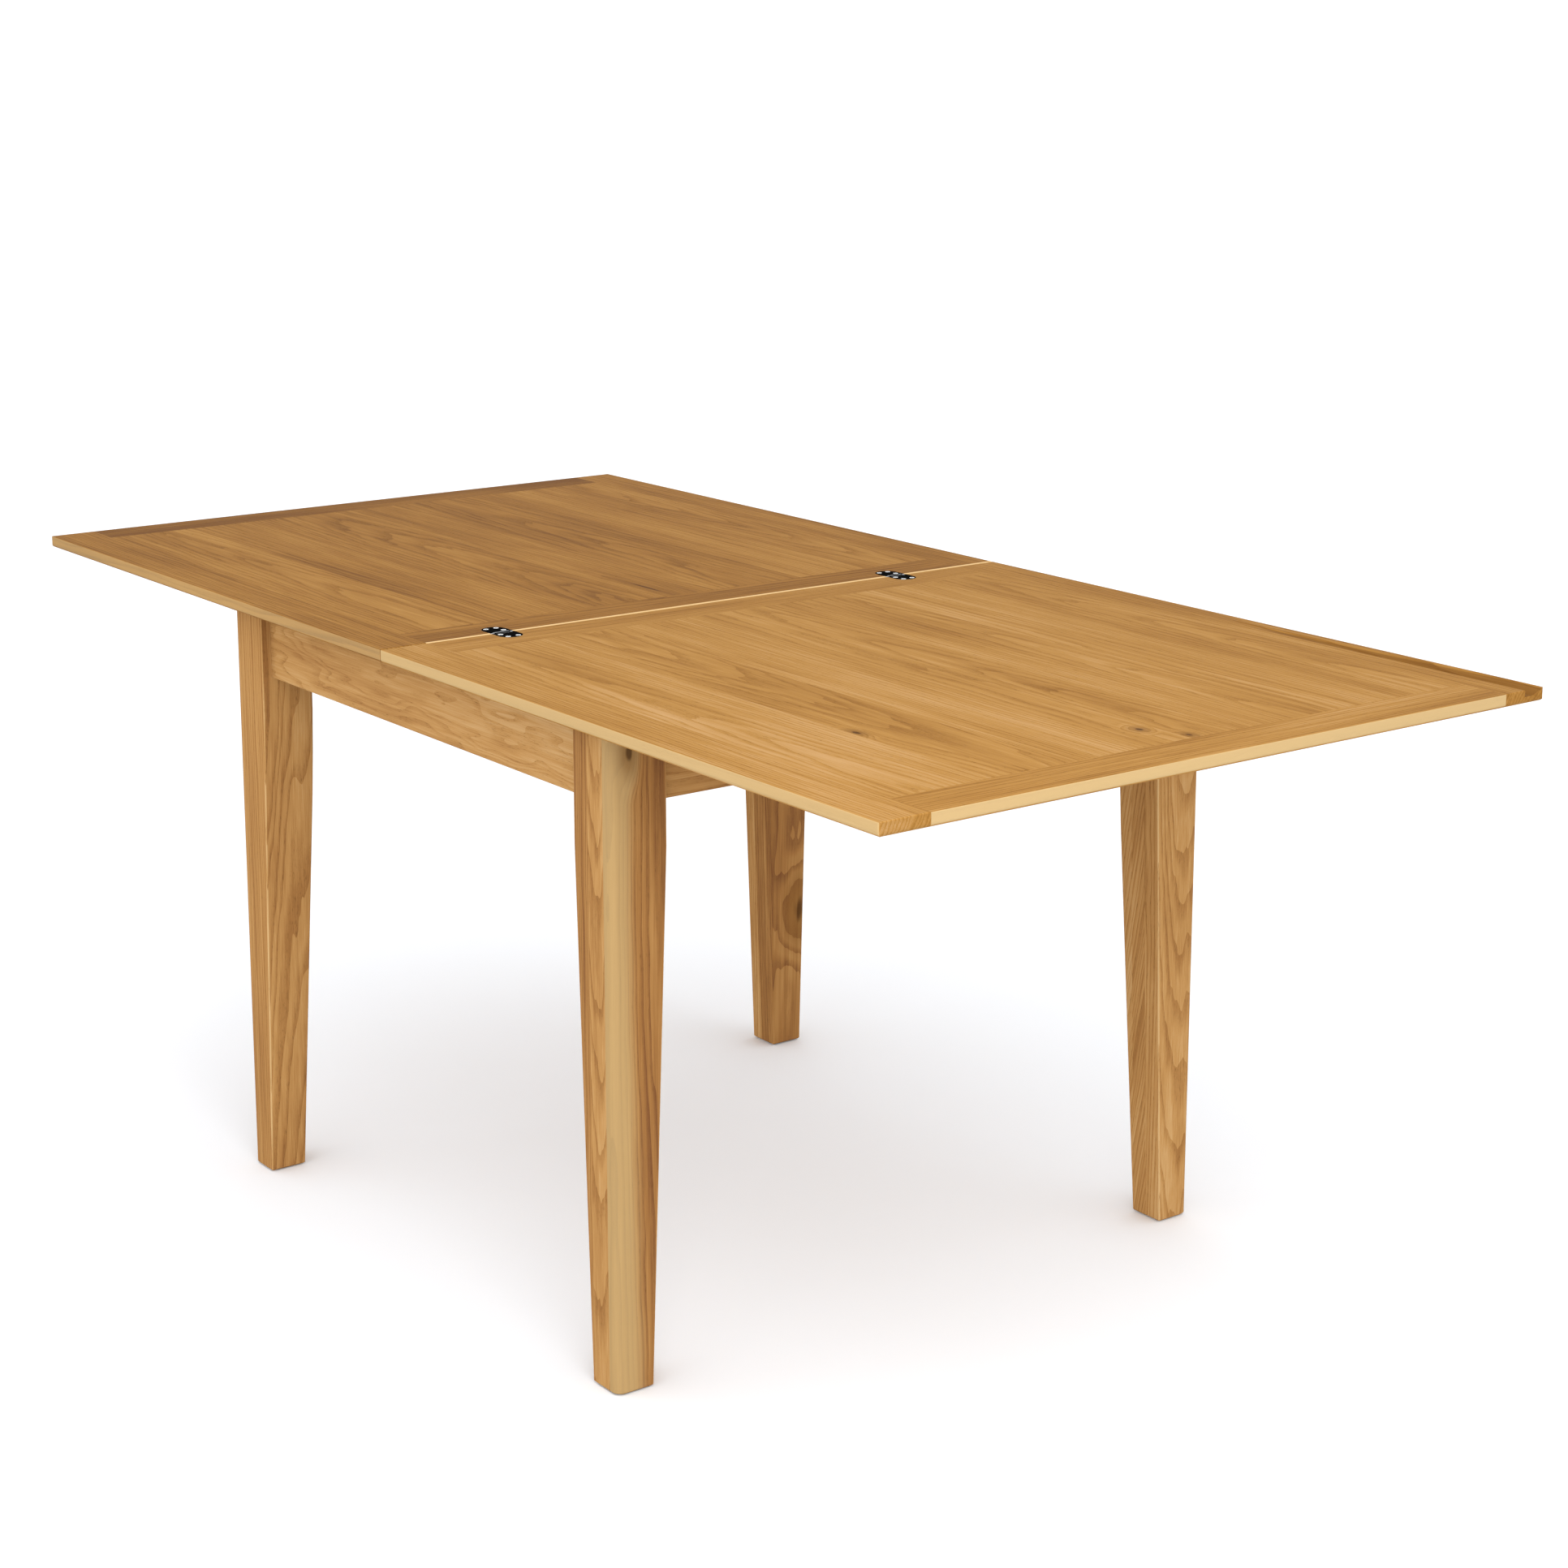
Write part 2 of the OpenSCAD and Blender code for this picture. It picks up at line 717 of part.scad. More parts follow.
// Countersunk screws up through the pivot plate into the leaf
module pivot_screw_set(hole) {
    for (ax = [-1, 1], ay = [-1, 1])
        translate([pivot_x + ax * plate_screw_at, pivot_y + ay * plate_screw_at,
                   plate_bottom])
            rotate([180, 0, 0])
                if (hole) countersunk_hole(screw_r, screw_head_r, plate_screw_l);
                else countersunk_screw(screw_r, screw_head_r, plate_screw_l);
}

module at_stop_pin() {
    translate([pivot_x, pivot_y, 0]) rotate(stop_from) translate([stop_at, 0, 0])
        children();
}

module pivot_plate() {
    color(ZINC) difference() {
        translate([pivot_x - plate_side / 2, pivot_y - plate_side / 2, plate_bottom])
            linear_extrude(plate_t)
                rounded_rect(plate_side, plate_side, [6, 6, 6, 6]);
        translate([pivot_x, pivot_y, plate_bottom - 1])
            cylinder(r = stud_neck_r + fixed_play, h = plate_t + 2);
        at_stop_pin() translate([0, 0, plate_bottom - 1])
            cylinder(r = stop_neck_r + fixed_play, h = plate_t + 2);
        pivot_screw_set(true);
    }
}

module pivot_stud() {
    color(ZINC) translate([pivot_x, pivot_y, 0]) {
        translate([0, 0, stud_end]) cylinder(r = stud_r, h = plate_bottom - stud_end);
        translate([0, 0, plate_bottom - 1]) cylinder(r = stud_neck_r, h = plate_t + 1);
    }
}

module stop_pin() {
    color(ZINC) at_stop_pin() {
        translate([0, 0, stop_end]) cylinder(r = stop_r, h = plate_bottom - stop_end);
        translate([0, 0, plate_bottom - 1]) cylinder(r = stop_neck_r, h = plate_t + 1);
    }
}

// A ring round the pivot stud
module stud_ring(top, thickness, r, sides) {
    color(ZINC) translate([pivot_x, pivot_y, top - thickness]) difference() {
        cylinder(r = r, h = thickness, $fn = sides);
        translate([0, 0, -1]) cylinder(r = stud_r + fixed_play, h = thickness + 2);
    }
}

module pivot_plate_screws() {
    color(ZINC) pivot_screw_set(false);
}

module pivot_washer() {
    stud_ring(washer_top, washer_t, washer_r, $fn);
}

module pivot_nut() {
    stud_ring(nut_top, nut_h, nut_r, 6);
}

// ---- Nodes ----

leg([-1, -1]);  // front_left_leg
leg([1, -1]);  // front_right_leg
leg([-1, 1]);  // back_left_leg
leg([1, 1]);  // back_right_leg
x_apron(-1);  // front_apron
x_apron(1);  // back_apron
y_apron(-1);  // left_apron
y_apron(1);  // right_apron
brace([-1, -1]);  // front_left_brace
brace([1, -1]);  // front_right_brace
brace([-1, 1]);  // back_left_brace
brace([1, 1]);  // back_right_brace
apron_dowels();
brace_screws();
hanger_bolts();
hanger_washers();
hanger_nuts();
cross_rail();
cleat(-1);  // front_cleat
cleat(1);  // back_cleat
rail_screws();
cleat_screws();
pivot_bush();
top_glides();
foot_glides();
leaf_panel(-1);  // fixed_panel
side_band(-1, -1);  // fixed_front_band
side_band(-1, 1);  // fixed_back_band
end_band(-1);  // fixed_end_band
joint_band(-1);  // fixed_joint_band
hinge_plate(-1, -1);  // front_hinge_fixed_plate
hinge_plate(-1, 1);  // back_hinge_fixed_plate
hinge_pins(-1);  // fixed_hinge_pins
hinge_screws(-1);  // fixed_hinge_screws
pivot_plate();
pivot_plate_screws();
pivot_stud();
pivot_washer();
pivot_nut();
stop_pin();
hinge_link(-1);  // front_hinge_link
hinge_link(1);  // back_hinge_link
leaf_panel(1);  // flip_panel
side_band(1, -1);  // flip_front_band
flip_back_band();
end_band(1);  // flip_end_band
joint_band(1);  // flip_joint_band
hinge_plate(1, -1);  // front_hinge_flip_plate
hinge_plate(1, 1);  // back_hinge_flip_plate
hinge_pins(1);  // flip_hinge_pins
hinge_screws(1);  // flip_hinge_screws
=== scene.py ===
# %% [markdown]
# # A flip-top table in oiled oak
# The frame is the measured model of the table: every piece of wood and metal in its true
# place, in metres. It is loaded first and never moved. A piece whose shape is already right
# keeps its shape and gets a finish here. A piece that needs more shape than the model has,
# such as a leg with all its edges eased, is made new and rides on the same body.

# %% The frame
import json
import math
import bpy
import numpy as np
from mathutils import Matrix, Vector


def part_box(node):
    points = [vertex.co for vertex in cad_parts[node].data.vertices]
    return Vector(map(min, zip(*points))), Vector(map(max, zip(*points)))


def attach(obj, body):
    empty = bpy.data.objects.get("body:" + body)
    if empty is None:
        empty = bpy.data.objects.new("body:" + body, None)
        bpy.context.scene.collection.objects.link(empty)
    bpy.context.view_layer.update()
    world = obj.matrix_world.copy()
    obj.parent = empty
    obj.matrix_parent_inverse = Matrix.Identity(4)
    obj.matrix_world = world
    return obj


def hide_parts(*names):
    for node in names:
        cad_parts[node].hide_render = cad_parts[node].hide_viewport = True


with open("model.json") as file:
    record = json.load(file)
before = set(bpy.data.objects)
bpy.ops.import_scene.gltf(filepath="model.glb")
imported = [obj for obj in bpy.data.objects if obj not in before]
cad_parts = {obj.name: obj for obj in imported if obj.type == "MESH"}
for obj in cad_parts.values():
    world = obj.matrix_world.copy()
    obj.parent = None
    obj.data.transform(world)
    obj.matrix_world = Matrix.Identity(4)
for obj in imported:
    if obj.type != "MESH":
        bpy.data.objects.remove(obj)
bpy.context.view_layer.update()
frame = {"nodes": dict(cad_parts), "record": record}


# %% [markdown]
# ## Adding nodes and colours
# A finish is a small graph of shader nodes. It could be clicked together by hand, but a
# written graph can be read, and the same few lines can dress a leg and a plank. One helper
# adds a node, sets it and links it. Colours are written as the hex values that a paint
# chart gives, and one function turns them into the linear light that the renderer uses.

# %% One helper for nodes, one for colours
def linear(hex_colour):
    """Each channel c of the hex colour, from 0 to 1, becomes c / 12.92 up to 0.04045, and
    ((c + 0.055) / 1.055) to the power 2.4 above it. Alpha is 1."""
    c = np.array([int(hex_colour[i:i + 2], 16) / 255 for i in (1, 3, 5)])
    light = np.where(c <= 0.04045, c / 12.92, ((c + 0.055) / 1.055) ** 2.4)
    return (*light.tolist(), 1.0)


def add(tree, kind, links=None, out=0, **settings):
    """Adds a shader node and returns its output number or name out. links gives each input,
    by number or name, a value or another node's output."""
    node = tree.nodes.new("ShaderNode" + kind)
    for key, value in settings.items():
        setattr(node, key, value)
    for key, value in (links or {}).items():
        if isinstance(value, bpy.types.NodeSocket):
            tree.links.new(value, node.inputs[key])
        else:
            node.inputs[key].default_value = value
    return node.outputs[out] if node.outputs else node


def new_finish(name):
    """An empty material and its node tree."""
    finish = bpy.data.materials.new(name)
    finish.use_nodes = True
    finish.node_tree.nodes.clear()
    return finish, finish.node_tree


def surface(tree, colour, roughness, height=None, depth=0.0, **constants):
    """Ends a finish in a Principled shader. height, from 0 to 1, is a relief depth metres
    deep. constants are the shader's fixed values, with _ for a space in their names."""
    links = {"Base Color": colour, "Roughness": roughness}
    links.update({key.replace("_", " "): value for key, value in constants.items()})
    if height is not None:
        links["Normal"] = add(tree, "Bump", {
            "Height": height, "Strength": 1.0, "Distance": depth}, out="Normal")
    shader = add(tree, "BsdfPrincipled", links)
    add(tree, "OutputMaterial", {"Surface": shader})


print("a mid grey, #808080, is", round(linear("#808080")[0], 3), "in linear light")

# %% [markdown]
# ## How a board lies in its tree
# What the eye knows as oak is a cut through a tree: rings of coarse spring wood and dense
# summer wood round a pith that is never quite parallel to the saw. Where the cut runs along
# the rings they show as straight lines, and where it leans through them they show as arches.
# A flat picture of grain could be wrapped on, but it would break at every edge. So each board
# knows where the pith of its tree lay, and the rings are worked out in the solid: they run
# over an edge, and show as arcs on the end grain, with nothing more to do.

# %% A board's place in its tree
AXES = {"x": Vector((1, 0, 0)), "y": Vector((0, 1, 0)), "z": Vector((0, 0, 1))}
AXES.update({"-" + name: -axis for name, axis in list(AXES.items())})
MM = 1000.0
FAR = 9999.0
SEED_STEP = 1700.0
KNOT_TAPER = 0.1
NO_KNOT = (FAR, FAR, 8.0, 8.0)


def board(along, face, at, pith=(20, 70), lean=(0.0, 0.02), seed=0, tone_and_shade=0.0, wave=0.0,
          sap=FAR, knot=NO_KNOT):
    """Where a board lies in its tree, and how it looks.

    along and face name the axes of the fibres and of the outward normal of the show face,
    and at is a point on that face, in metres. The pith lies pith[0] mm across from it and
    pith[1] mm under it, and leans by lean for each unit of length. The board's coordinates
    are turn @ place + shift, in mm: along the fibres, across and out from the pith.
    Fibres are shifted by 1.7 m for each seed, so no two boards share their pattern.
    tone_and_shade is how dark the board is: its own tone, with painted shade added on some
    boards and painted light on others. wave is how strongly its rings wander, and sap the
    radius in mm where the pale sapwood starts. knot is (along, across, radius along, radius
    across) in mm from the point at, and runs ten times as deep as its radius across."""
    fibre, out = AXES[along], AXES[face]
    turn = Matrix((fibre, out.cross(fibre), out))
    lean_out = Matrix.Rotation(lean[1], 3, "Y")
    lean_across = Matrix.Rotation(lean[0], 3, "Z")
    turn = lean_out @ lean_across @ turn
    shift = Vector((seed * SEED_STEP, -pith[0], pith[1])) - (turn @ Vector(at)) * MM
    middle = Vector((seed * SEED_STEP + knot[0], knot[1] - pith[0], pith[1]))
    size = Vector((1 / knot[2], 1 / knot[3], KNOT_TAPER / knot[3]))
    return {"fibre": fibre, "turn": turn * MM, "angles": turn.to_euler(), "shift": shift,
            "look": (tone_and_shade, wave, sap), "knot_middle": middle, "knot_size": size}


example = board("x", "z", (0, 0, 0.75))
print("a board's coordinates at its own point:",
      [round(v) for v in example["turn"] @ Vector((0, 0, 0.75)) + example["shift"]])

# %% [markdown]
# ## The oil-finished oak
# European oak, planed, sanded and oiled. The oil gives it a warm honey colour and a low,
# even sheen. Four things make its figure: rings about 4 mm apart, pores that show as short
# dark dashes in the spring wood of each ring, fine fibre streaks that run the length of the
# board, and slow changes of tone across it. Near a knot the rings flow round it. Each of
# them is one group of nodes below, at its real size in millimetres. The pores are drawn
# 0.6 mm wide, about twice their real width, because finer ones are lost at this distance.

# %% The oak finish
# In mm: the rings' spacing, how far they wander by themselves, with wave and in ripples, how
# far a knot pushes them, and over what distance wide and narrow years take turns
RING, WANDER, WAVE_WANDER, RIPPLE, KNOT_PUSH, YEARS_RUN = 4.4, 9.0, 34.0, 2.6, 13.0, 13.0
# In metres
PORE_DEPTH = 0.0001
TOP_SHADES = ("#B58F60", "#A2773C", "#8B602A", "#69431B")
LEG_SHADES = ("#B89668", "#A67D4B", "#8E6438", "#6E472A")
DEEP, PORE, KNOT = "#69431B", "#482E18", "#3A2210"
# PALE_EDGE is painted on the outer edge faces, and PALE_STRIP on the top along the joint
SAPWOOD, PALE_EDGE, PALE_STRIP = "#A98F62", "#B2976B", "#CFAE7C"


def oak(name, place=None, figure=1.0, shades=TOP_SHADES, fades=()):
    """The oiled oak. place is a board, for a piece cut from one, and then the grain
    coordinates come from the object's own. Otherwise the piece carries them itself, as the
    attributes grain_at, knot_at and board_look. figure is how strongly the rings show.
    shades are its four colours, from pale to deep. fades are where another colour takes
    over, as at a sanded edge: an axis, a place on it, the distances from there where that
    starts and is full, in metres, how much, the colour, and the way the surface faces."""
    finish, tree = new_finish(name)
    coords = add(tree, "TexCoord", out="Object")
    if place:
        grain = add(tree, "Mapping", {
            "Vector": coords, "Location": place["shift"], "Rotation": place["angles"],
            "Scale": (MM, MM, MM)})
        from_knot = add(tree, "VectorMath", {0: grain, 1: place["knot_middle"]},
                        operation="SUBTRACT")
        knot = add(tree, "VectorMath", {0: from_knot, 1: place["knot_size"]},
                   operation="MULTIPLY")
        tone_and_shade, wave, sap = place["look"]
        fibre = place["fibre"]
    else:
        grain = add(tree, "Attribute", out="Vector", attribute_name="grain_at")
        knot = add(tree, "Attribute", out="Vector", attribute_name="knot_at")
        look = add(tree, "Attribute", out="Vector", attribute_name="board_look")
        parts = add(tree, "SeparateXYZ", {0: look}).node.outputs
        tone_and_shade, wave, sap = parts[0], parts[1], parts[2]
        fibre = AXES["z"] if "leg" in name else AXES["x"]

    # Noises in the grain: a name, a size along the fibres and across them in mm, and detail
    noise = {}
    for key, along, across, detail in (
            ("slow", 260, 48, 2), ("quick", 70, 11, 1), ("broad", 420, 55, 1),
            ("coarse", 240, 8, 2), ("fine", 110, 1.5, 3), ("dashes", 9, 0.6, 1)):
        sized = add(tree, "VectorMath", {0: grain, 1: (1 / along, 1 / across, 1 / across)},
                    operation="MULTIPLY")
        noise[key] = add(tree, "TexNoise", {
            "Vector": sized, "Scale": 1.0, "Detail": detail, "Roughness": 0.58})

    # Rings: the distance from the pith, which wanders along the board and rounds the knot
    out_from_pith = add(tree, "VectorMath", {0: grain, 1: (0, 1, 1)}, operation="MULTIPLY")
    radius = add(tree, "VectorMath", {0: out_from_pith}, out="Value", operation="LENGTH")
    reach = add(tree, "Math", {0: wave, 1: WAVE_WANDER, 2: WANDER},
                operation="MULTIPLY_ADD")
    swing = add(tree, "Math", {0: noise["slow"], 1: 0.5}, operation="SUBTRACT")
    radius = add(tree, "Math", {0: swing, 1: reach, 2: radius}, operation="MULTIPLY_ADD")
    radius = add(tree, "Math", {0: noise["quick"], 1: RIPPLE, 2: radius},
                 operation="MULTIPLY_ADD")
    to_knot = add(tree, "VectorMath", {0: knot}, out="Value", operation="LENGTH")
    push = add(tree, "MapRange", {0: to_knot, 1: 5.0, 2: 0.3, 3: 0.0, 4: KNOT_PUSH},
               interpolation_type="SMOOTHSTEP")
    radius = add(tree, "Math", {0: radius, 1: push}, operation="ADD")
    years = add(tree, "Math", {0: radius, 1: YEARS_RUN}, operation="DIVIDE")
    spacing = add(tree, "TexNoise", {"W": years, "Scale": 1.0, "Detail": 1.0},
                  noise_dimensions="1D")
    rings = add(tree, "Math", {0: radius, 1: RING}, operation="DIVIDE")
    rings = add(tree, "Math", {0: spacing, 1: 1.6, 2: rings}, operation="MULTIPLY_ADD")
    phase = add(tree, "Math", {0: rings}, operation="FRACT")
    spring = add(tree, "MapRange", {0: phase, 1: 0.0, 2: 0.6, 3: 1.0, 4: 0.0},
                 interpolation_type="SMOOTHSTEP")

    # Pores lie mostly in the spring wood
    dash = add(tree, "MapRange", {0: noise["dashes"], 1: 0.58, 2: 0.70, 3: 0.0, 4: 1.0})
    crowd = add(tree, "Math", {0: spring, 1: 0.75, 2: 0.2}, operation="MULTIPLY_ADD")
    pore = add(tree, "Math", {0: dash, 1: crowd}, operation="MULTIPLY")

    # The shade, from pale to deep, adds up the noises and the rings
    shade = add(tree, "Math", {0: tone_and_shade, 1: 0.40}, operation="ADD")
    for part, middle, share in (
            (noise["broad"], 0.5, 0.55), (noise["coarse"], 0.5, 0.45),
            (noise["fine"], 0.5, 0.52), (spring, 0.0, 0.30 * figure)):
        centred = add(tree, "Math", {0: part, 1: middle}, operation="SUBTRACT")
        shade = add(tree, "Math", {0: centred, 1: share, 2: shade},
                    operation="MULTIPLY_ADD")
    ramp = add(tree, "ValToRGB", {0: shade}).node
    stops = ramp.color_ramp.elements
    stops[0].position, stops[0].color = 0.05, linear(shades[0])
    stops[1].position, stops[1].color = 1.0, linear(shades[3])
    for position, tint in ((0.38, shades[1]), (0.68, shades[2])):
        stops.new(position).color = linear(tint)
    colour = ramp.outputs[0]

    # Over it lie the pores, the sapwood beyond its radius, the knot, and end grain, which
    # drinks more oil: each is a range of a value, how much of it, and its colour
    beyond = add(tree, "Math", {0: radius, 1: sap}, operation="SUBTRACT")
    ragged = add(tree, "Math", {0: noise["quick"], 1: 0.9, 2: to_knot},
                 operation="MULTIPLY_ADD")
    normal = add(tree, "TexCoord", out="Normal")
    end_on = add(tree, "VectorMath", {0: normal, 1: fibre}, out="Value",
                 operation="DOT_PRODUCT")
    end_on = add(tree, "Math", {0: end_on}, operation="ABSOLUTE")
    layers = [(pore, 0.0, 1.0, 0.5, PORE), (beyond, -9.0, 6.0, 0.7, SAPWOOD),
              (to_knot, 3.6, 0.8, 0.55, DEEP), (ragged, 1.45, 0.95, 0.75, KNOT),
              (end_on, 0.5, 0.9, 0.25, DEEP)]
    for axis, middle, start, full, most, tint, face in fades:
        away = add(tree, "VectorMath", {0: normal, 1: AXES[face]}, out="Value",
                   operation="DOT_PRODUCT")
        away = add(tree, "MapRange", {0: away, 1: 0.3, 2: 0.6, 3: 1.0, 4: 0.0})
        along = add(tree, "VectorMath", {0: coords, 1: AXES[axis]}, out="Value",
                    operation="DOT_PRODUCT")
        apart = add(tree, "Math", {0: along, 1: middle}, operation="SUBTRACT")
        apart = add(tree, "Math", {0: apart}, operation="ABSOLUTE")
        apart = add(tree, "Math", {0: apart, 1: away}, operation="ADD")
        layers.append((apart, start, full, most, tint))
    for value, start, end, most, tint in layers:
        amount = add(tree, "MapRange", {0: value, 1: start, 2: end, 3: 0.0, 4: most},
                     interpolation_type="SMOOTHSTEP")
        colour = add(tree, "Mix", {0: amount, 6: colour, 7: linear(tint)}, out=2,
                     data_type="RGBA")

    # Oil leaves the pores open: they are rougher, and a tenth of a millimetre deep
    roughness = add(tree, "Math", {0: pore, 1: 0.2, 2: 0.5}, operation="MULTIPLY_ADD")
    relief = add(tree, "Math", {0: pore, 1: -0.7, 2: 0.9}, operation="MULTIPLY_ADD")
    relief = add(tree, "Math", {0: noise["fine"], 1: 0.10, 2: relief},
                 operation="MULTIPLY_ADD")
    surface(tree, colour, roughness, relief, PORE_DEPTH, IOR=1.46,
            Specular_IOR_Level=0.01)
    return finish


print("rings", RING, "mm apart")

# %% [markdown]
# ## Making a piece from a grid
# A new piece is a grid of points bent into shape: rows run along it and columns run round
# it. numpy works out every point at once, and the mesh takes the whole array. A modifier
# could round the edges instead, but then the rows and columns would not lie where two
# staves or planks meet, and each of those has to keep its own place in its own tree.

# %% From arrays to a piece
def make_piece(name, points, faces, smooth_below=35.0):
    """A mesh object from an array of points and a list of faces, smooth where two faces
    meet at less than smooth_below degrees."""
    mesh = bpy.data.meshes.new(name)
    mesh.from_pydata(points.tolist(), [], faces)
    mesh.validate()
    mesh.set_sharp_from_angle(angle=math.radians(smooth_below))
    piece = bpy.data.objects.new(name, mesh)
    bpy.context.scene.collection.objects.link(piece)
    return piece


def give_grain(piece, boards, board_of_face):
    """Each face belongs to one board, and each of its corners gets that board's grain
    coordinates, turn @ place + shift, its place from the knot in knot radii, and the
    board's look, as the attributes grain_at, knot_at and board_look."""
    mesh = piece.data
    places = np.empty(len(mesh.vertices) * 3)
    mesh.vertices.foreach_get("co", places)
    corner_vertex = np.empty(len(mesh.loops), int)
    mesh.loops.foreach_get("vertex_index", corner_vertex)
    sides = np.empty(len(mesh.polygons), int)
    mesh.polygons.foreach_get("loop_total", sides)
    owner = np.repeat(np.asarray(board_of_face), sides)
    corners = places.reshape(-1, 3)[corner_vertex]
    turn, shift, middle, size, look = (
        np.array([part[key] for part in boards])[owner]
        for key in ("turn", "shift", "knot_middle", "knot_size", "look"))
    grain = np.einsum("nij,nj->ni", turn, corners) + shift
    values = {"grain_at": grain, "knot_at": (grain - middle) * size, "board_look": look}
    for key, value in values.items():
        mesh.attributes.new(key, "FLOAT_VECTOR", "CORNER").data.foreach_set(
            "vector", value.ravel())


def stand_in(piece, node, body, finish):
    """The piece takes the finish, rides on the body and stands for the node."""
    piece.data.materials.append(finish)
    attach(piece, body)
    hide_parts(node)


print("pieces carry their grain at their corners")

# %% [markdown]
# ## The legs
# Each leg is square at the top and tapers on its two inner faces to the foot. It is glued up
# from two or three staves, so its grain changes along straight lines. The outer corner is
# rounded to 10 mm. The inner one is cut back about 7 mm at the top, where the corner's bolt
# goes in, and less further down. The two others are eased by hand to 1.5 mm, which gives each a
# thin line of light. A leg could be a box with its edges bevelled. Here it is a section
# carried up from foot to top, which shrinks towards the outer corner as it goes down, so
# that every point is known and each stave's faces can be told apart.

# %% Legs
LEG_R, EASE, TAPER_TOP, LEG_FOOT = 0.010, 0.0015, 0.6002, 0.047
INNER_CUT, CUT_SHARE = 0.008, 0.9
# Points on the outer corner and on each other one, sections up the taper, the height of the
# lowest of them above the foot, and half the length of the bend where the taper ends
ROUND, EASED, SECTIONS, LOWEST, BEND = 9, 4, 12, 0.02, 0.004
# The height that knots are placed from, and how much paler an eased edge is painted
KNOTS_FROM, EDGE_TONE = 0.4, -0.35


def corner_arc(centre, radius, start, count):
    """count points on a quarter circle round the centre, from the angle start, in degrees."""
    angle = np.radians(start + np.linspace(0, 90, count))
    return np.column_stack((centre[0] + radius * np.cos(angle),
                            centre[1] + radius * np.sin(angle)))


def leg_section(width, glues, inset=0.0):
    """The leg's plan as seen from above with its outer corner at (0, 0) and its body
    towards -X and -Y: four rounded corners, and a point on each side where each glue line
    x = -glue crosses it. inset draws all of it in, for the eased ends. The inner corner's
    radius is CUT_SHARE times INNER_CUT less twice what the width has lost, and at least
    CUT_SHARE times EASE."""
    cut = max(INNER_CUT - 2 * (LEG_TOP - width), EASE) * CUT_SHARE
    low, high = -width + inset, -inset
    outer = corner_arc((high - LEG_R, high - LEG_R), LEG_R, 0, ROUND)
    near_side = [(-glue, high) for glue in glues]
    left = corner_arc((low + EASE, high - EASE), EASE, 90, EASED)
    inner = corner_arc((low + cut, low + cut), cut, 180, EASED)
    far_side = [(-glue, low) for glue in reversed(glues)]
    right = corner_arc((high - EASE, low + EASE), EASE, 270, EASED)
    return np.vstack((outer, near_side, left, inner, far_side, right))


def make_leg(node, glues, staves):
    """A stack of leg sections, closed by a flat face for each stave at both ends. The width
    goes straight from the foot's to the top's over the taper, and the foot's edge is eased.
    A stave lies between two glue lines, and its eased edges are painted a little paler."""
    low, high = (np.array(corner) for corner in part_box(node))
    side = np.sign((low + high)[:2])
    outer = np.where(side > 0, high[:2], low[:2])
    ease_up = np.array([0.0, 0.3, 1.0])
    heights = np.concatenate((low[2] + EASE * ease_up,
                              np.linspace(low[2] + LOWEST, TAPER_TOP - BEND, SECTIONS),
                              [TAPER_TOP, TAPER_TOP + BEND, high[2]]))
    insets = np.zeros(len(heights))
    insets[:3] = EASE * (1 - ease_up)
    widths = np.interp(heights, (low[2], TAPER_TOP), (LEG_FOOT, LEG_TOP))
    rings = np.stack([leg_section(width, glues, inset)
                      for width, inset in zip(widths, insets)])
    count, levels = rings.shape[1], len(heights)
    points = np.dstack((rings * side + outer,
                        np.repeat(heights[:, None], count, axis=1))).reshape(-1, 3)
    row, column = np.mgrid[0:levels - 1, 0:count]
    here, beside = row * count + column, row * count + (column + 1) % count
    quads = np.dstack((here, beside, beside + count, here + count)).reshape(-1, 4).tolist()
    # A side belongs to the stave its middle lies in, and an eased edge to that stave, painted
    # paler
    across = -rings[-1, :, 0]
    middle = (across + np.roll(across, -1)) / 2
    stave = np.searchsorted(glues, middle)
    last = len(glues)
    eased = np.zeros(count, bool)
    for start in (ROUND + last, ROUND + 2 * last + 2 * EASED):
        eased[start:start + EASED - 1] = True
    owner = np.tile(stave + eased * (last + 1), levels - 1)
    caps, cap_owner = [], []
    for k, (start, end) in enumerate(zip((-1, *glues), (*glues, 1))):
        part = np.flatnonzero((across > start - 1e-6) & (across < end + 1e-6))
        caps += [part[::-1].tolist(), (part + (levels - 1) * count).tolist()]
        cap_owner += [k, k]
    faces = quads + caps
    if side[0] * side[1] < 0:
        faces = [face[::-1] for face in faces]
    piece = make_piece(node + "_staves", points, faces)
    pale_edges = [{**part, "tone_and_shade": part["tone_and_shade"] + EDGE_TONE} for part in staves]
    boards = [board("z", at=(*outer, KNOTS_FROM), **part) for part in staves + pale_edges]
    give_grain(piece, boards, [*owner, *cap_owner])
    stand_in(piece, node, "frame", LEG_OAK)
    print(node, "of", len(staves), "staves,", len(piece.data.polygons), "faces")


LEG_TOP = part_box("front_right_leg")[1].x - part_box("front_right_leg")[0].x
LEG_OAK = oak("oiled_oak_leg_staves", figure=0.8, shades=LEG_SHADES)
make_leg("front_right_leg", (0.015, 0.044), [
    {"face": "x", "pith": (-62, 34), "lean": (0.0, 0.01), "seed": 3, "tone_and_shade": 0.22,
     "sap": 53, "knot": (309, -24, 12, 5)},
    {"face": "-y", "pith": (28, 46), "lean": (0.0, 0.05), "seed": 4, "tone_and_shade": 0.0},
    {"face": "-y", "pith": (150, 30), "lean": (0.0, 0.0), "seed": 2, "tone_and_shade": 0.16}])
make_leg("front_left_leg", (0.022,), [
    {"face": "-y", "pith": (120, 60), "lean": (0.0, 0.01), "seed": 5, "tone_and_shade": 0.0},
    {"face": "-y", "pith": (95, 75), "lean": (0.0, 0.0), "seed": 6, "tone_and_shade": 0.08}])
